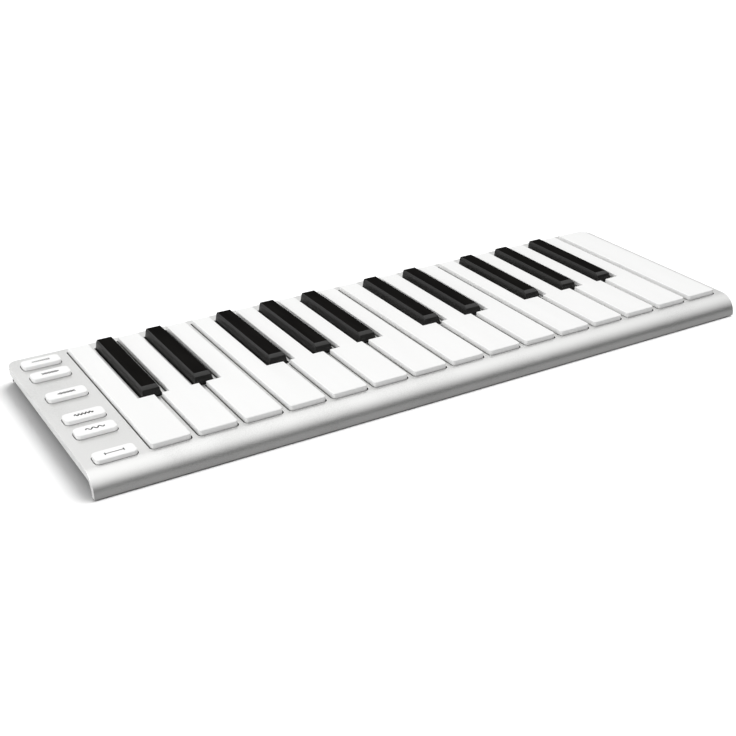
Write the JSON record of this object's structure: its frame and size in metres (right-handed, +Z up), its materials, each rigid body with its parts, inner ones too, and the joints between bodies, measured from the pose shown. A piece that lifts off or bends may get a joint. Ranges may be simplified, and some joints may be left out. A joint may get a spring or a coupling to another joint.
{
  "type": "midi keyboard",
  "caption": "Slim desktop USB music keyboard: low white and black keys and a column of push buttons, each in its own cut-out of a flat aluminium top shell with a rounded front edge",
  "frame": {"origin": "On the table, under the middle of the keyboard's footprint", "axes": "+X runs to the high notes, +Y runs to the back, away from the player, and +Z is up"},
  "size_m": [0.388, 0.136, 0.0165],
  "materials": {
    "shell": "fine bead-blasted and anodised, satin silver-white",
    "white_key": "moulded white ABS, satin gloss",
    "black_key": "moulded black ABS, satin",
    "button": "moulded white plastic, satin",
    "tray": "moulded dark grey ABS, fine texture",
    "steel": "plated steel",
    "board": "fibreglass board with green solder mask",
    "silicone": "translucent grey moulded silicone",
    "felt": "dense red felt strip",
    "chip": "moulded black epoxy",
    "ribbon": "flat white flexible cable",
    "foot": "matt black rubber"
  },
  "bodies": {
    "chassis": {"top_shell": "shell", "base_tray": "tray", "key_frame": "steel", "pivot_rod": "steel", "main_board": "board", "control_chip": "chip", "contact_strip": "silicone", "down_stop_felt": "felt", "up_stop_felt": "felt", "button_board": "board", "button_membrane": "silicone", "ribbon_link": "ribbon", "usb_socket": "steel", "foot_front_left": "foot", "foot_front_right": "foot", "foot_rear_left": "foot", "foot_rear_right": "foot", "tray_screw_1": "steel", "tray_screw_2": "steel", "tray_screw_3": "steel", "tray_screw_4": "steel", "tray_screw_5": "steel", "tray_screw_6": "steel", "tray_screw_7": "steel", "tray_screw_8": "steel"},
    "white_key_01": {"white_key_01": "white_key"},
    "white_key_02": {"white_key_02": "white_key"},
    "white_key_03": {"white_key_03": "white_key"},
    "white_key_04": {"white_key_04": "white_key"},
    "white_key_05": {"white_key_05": "white_key"},
    "white_key_06": {"white_key_06": "white_key"},
    "white_key_07": {"white_key_07": "white_key"},
    "white_key_08": {"white_key_08": "white_key"},
    "white_key_09": {"white_key_09": "white_key"},
    "white_key_10": {"white_key_10": "white_key"},
    "white_key_11": {"white_key_11": "white_key"},
    "white_key_12": {"white_key_12": "white_key"},
    "white_key_13": {"white_key_13": "white_key"},
    "white_key_14": {"white_key_14": "white_key"},
    "white_key_15": {"white_key_15": "white_key"},
    "black_key_01": {"black_key_01": "black_key"},
    "black_key_02": {"black_key_02": "black_key"},
    "black_key_03": {"black_key_03": "black_key"},
    "black_key_04": {"black_key_04": "black_key"},
    "black_key_05": {"black_key_05": "black_key"},
    "black_key_06": {"black_key_06": "black_key"},
    "black_key_07": {"black_key_07": "black_key"},
    "black_key_08": {"black_key_08": "black_key"},
    "black_key_09": {"black_key_09": "black_key"},
    "black_key_10": {"black_key_10": "black_key"},
    "button_1": {"button_1": "button"},
    "button_2": {"button_2": "button"},
    "button_3": {"button_3": "button"},
    "button_4": {"button_4": "button"},
    "button_5": {"button_5": "button"},
    "button_6": {"button_6": "button"}
  },
  "joints": [
    {"name": "white_key_01_hinge", "type": "hinge", "parent": "chassis", "child": "white_key_01", "pos_m": [-0.15635, 0.0555, 0.005], "axis": [1, 0, 0], "range_deg": [0, 1.4], "stiffness_Nm_per_rad": 1.5, "springref_deg": -2.12},
    {"name": "white_key_02_hinge", "type": "hinge", "parent": "chassis", "child": "white_key_02", "pos_m": [-0.1286, 0.0555, 0.005], "axis": [1, 0, 0], "range_deg": [0, 1.4], "stiffness_Nm_per_rad": 1.5, "springref_deg": -2.12},
    {"name": "white_key_03_hinge", "type": "hinge", "parent": "chassis", "child": "white_key_03", "pos_m": [-0.10086, 0.0555, 0.005], "axis": [1, 0, 0], "range_deg": [0, 1.4], "stiffness_Nm_per_rad": 1.5, "springref_deg": -2.12},
    {"name": "white_key_04_hinge", "type": "hinge", "parent": "chassis", "child": "white_key_04", "pos_m": [-0.08611, 0.0555, 0.005], "axis": [1, 0, 0], "range_deg": [0, 1.4], "stiffness_Nm_per_rad": 1.5, "springref_deg": -2.12},
    {"name": "white_key_05_hinge", "type": "hinge", "parent": "chassis", "child": "white_key_05", "pos_m": [-0.05944, 0.0555, 0.005], "axis": [1, 0, 0], "range_deg": [0, 1.4], "stiffness_Nm_per_rad": 1.5, "springref_deg": -2.12},
    {"name": "white_key_06_hinge", "type": "hinge", "parent": "chassis", "child": "white_key_06", "pos_m": [-0.03256, 0.0555, 0.005], "axis": [1, 0, 0], "range_deg": [0, 1.4], "stiffness_Nm_per_rad": 1.5, "springref_deg": -2.12},
    {"name": "white_key_07_hinge", "type": "hinge", "parent": "chassis", "child": "white_key_07", "pos_m": [-0.00588, 0.0555, 0.005], "axis": [1, 0, 0], "range_deg": [0, 1.4], "stiffness_Nm_per_rad": 1.5, "springref_deg": -2.12},
    {"name": "white_key_08_hinge", "type": "hinge", "parent": "chassis", "child": "white_key_08", "pos_m": [0.00886, 0.0555, 0.005], "axis": [1, 0, 0], "range_deg": [0, 1.4], "stiffness_Nm_per_rad": 1.5, "springref_deg": -2.12},
    {"name": "white_key_09_hinge", "type": "hinge", "parent": "chassis", "child": "white_key_09", "pos_m": [0.0366, 0.0555, 0.005], "axis": [1, 0, 0], "range_deg": [0, 1.4], "stiffness_Nm_per_rad": 1.5, "springref_deg": -2.12},
    {"name": "white_key_10_hinge", "type": "hinge", "parent": "chassis", "child": "white_key_10", "pos_m": [0.06434, 0.0555, 0.005], "axis": [1, 0, 0], "range_deg": [0, 1.4], "stiffness_Nm_per_rad": 1.5, "springref_deg": -2.12},
    {"name": "white_key_11_hinge", "type": "hinge", "parent": "chassis", "child": "white_key_11", "pos_m": [0.07909, 0.0555, 0.005], "axis": [1, 0, 0], "range_deg": [0, 1.4], "stiffness_Nm_per_rad": 1.5, "springref_deg": -2.12},
    {"name": "white_key_12_hinge", "type": "hinge", "parent": "chassis", "child": "white_key_12", "pos_m": [0.10576, 0.0555, 0.005], "axis": [1, 0, 0], "range_deg": [0, 1.4], "stiffness_Nm_per_rad": 1.5, "springref_deg": -2.12},
    {"name": "white_key_13_hinge", "type": "hinge", "parent": "chassis", "child": "white_key_13", "pos_m": [0.13264, 0.0555, 0.005], "axis": [1, 0, 0], "range_deg": [0, 1.4], "stiffness_Nm_per_rad": 1.5, "springref_deg": -2.12},
    {"name": "white_key_14_hinge", "type": "hinge", "parent": "chassis", "child": "white_key_14", "pos_m": [0.15932, 0.0555, 0.005], "axis": [1, 0, 0], "range_deg": [0, 1.4], "stiffness_Nm_per_rad": 1.5, "springref_deg": -2.12},
    {"name": "white_key_15_hinge", "type": "hinge", "parent": "chassis", "child": "white_key_15", "pos_m": [0.1782, 0.0555, 0.005], "axis": [1, 0, 0], "range_deg": [0, 1.4], "stiffness_Nm_per_rad": 1.5, "springref_deg": -2.12},
    {"name": "black_key_01_hinge", "type": "hinge", "parent": "chassis", "child": "black_key_01", "pos_m": [-0.14254, 0.0555, 0.005], "axis": [1, 0, 0], "range_deg": [0, 2.5], "stiffness_Nm_per_rad": 1, "springref_deg": -2.12},
    {"name": "black_key_02_hinge", "type": "hinge", "parent": "chassis", "child": "black_key_02", "pos_m": [-0.11466, 0.0555, 0.005], "axis": [1, 0, 0], "range_deg": [0, 2.5], "stiffness_Nm_per_rad": 1, "springref_deg": -2.12},
    {"name": "black_key_03_hinge", "type": "hinge", "parent": "chassis", "child": "black_key_03", "pos_m": [-0.07288, 0.0555, 0.005], "axis": [1, 0, 0], "range_deg": [0, 2.5], "stiffness_Nm_per_rad": 1, "springref_deg": -2.12},
    {"name": "black_key_04_hinge", "type": "hinge", "parent": "chassis", "child": "black_key_04", "pos_m": [-0.046, 0.0555, 0.005], "axis": [1, 0, 0], "range_deg": [0, 2.5], "stiffness_Nm_per_rad": 1, "springref_deg": -2.12},
    {"name": "black_key_05_hinge", "type": "hinge", "parent": "chassis", "child": "black_key_05", "pos_m": [-0.01912, 0.0555, 0.005], "axis": [1, 0, 0], "range_deg": [0, 2.5], "stiffness_Nm_per_rad": 1, "springref_deg": -2.12},
    {"name": "black_key_06_hinge", "type": "hinge", "parent": "chassis", "child": "black_key_06", "pos_m": [0.02266, 0.0555, 0.005], "axis": [1, 0, 0], "range_deg": [0, 2.5], "stiffness_Nm_per_rad": 1, "springref_deg": -2.12},
    {"name": "black_key_07_hinge", "type": "hinge", "parent": "chassis", "child": "black_key_07", "pos_m": [0.05054, 0.0555, 0.005], "axis": [1, 0, 0], "range_deg": [0, 2.5], "stiffness_Nm_per_rad": 1, "springref_deg": -2.12},
    {"name": "black_key_08_hinge", "type": "hinge", "parent": "chassis", "child": "black_key_08", "pos_m": [0.09232, 0.0555, 0.005], "axis": [1, 0, 0], "range_deg": [0, 2.5], "stiffness_Nm_per_rad": 1, "springref_deg": -2.12},
    {"name": "black_key_09_hinge", "type": "hinge", "parent": "chassis", "child": "black_key_09", "pos_m": [0.1192, 0.0555, 0.005], "axis": [1, 0, 0], "range_deg": [0, 2.5], "stiffness_Nm_per_rad": 1, "springref_deg": -2.12},
    {"name": "black_key_10_hinge", "type": "hinge", "parent": "chassis", "child": "black_key_10", "pos_m": [0.14608, 0.0555, 0.005], "axis": [1, 0, 0], "range_deg": [0, 2.5], "stiffness_Nm_per_rad": 1, "springref_deg": -2.12},
    {"name": "button_1_press", "type": "slide", "parent": "chassis", "child": "button_1", "axis": [0, 0, -1], "range_m": [0, 0.0008], "stiffness_N_per_m": 800, "springref_m": -0.0005},
    {"name": "button_2_press", "type": "slide", "parent": "chassis", "child": "button_2", "axis": [0, 0, -1], "range_m": [0, 0.0008], "stiffness_N_per_m": 800, "springref_m": -0.0005},
    {"name": "button_3_press", "type": "slide", "parent": "chassis", "child": "button_3", "axis": [0, 0, -1], "range_m": [0, 0.0008], "stiffness_N_per_m": 800, "springref_m": -0.0005},
    {"name": "button_4_press", "type": "slide", "parent": "chassis", "child": "button_4", "axis": [0, 0, -1], "range_m": [0, 0.0008], "stiffness_N_per_m": 800, "springref_m": -0.0005},
    {"name": "button_5_press", "type": "slide", "parent": "chassis", "child": "button_5", "axis": [0, 0, -1], "range_m": [0, 0.0008], "stiffness_N_per_m": 800, "springref_m": -0.0005},
    {"name": "button_6_press", "type": "slide", "parent": "chassis", "child": "button_6", "axis": [0, 0, -1], "range_m": [0, 0.0008], "stiffness_N_per_m": 800, "springref_m": -0.0005}
  ]
}
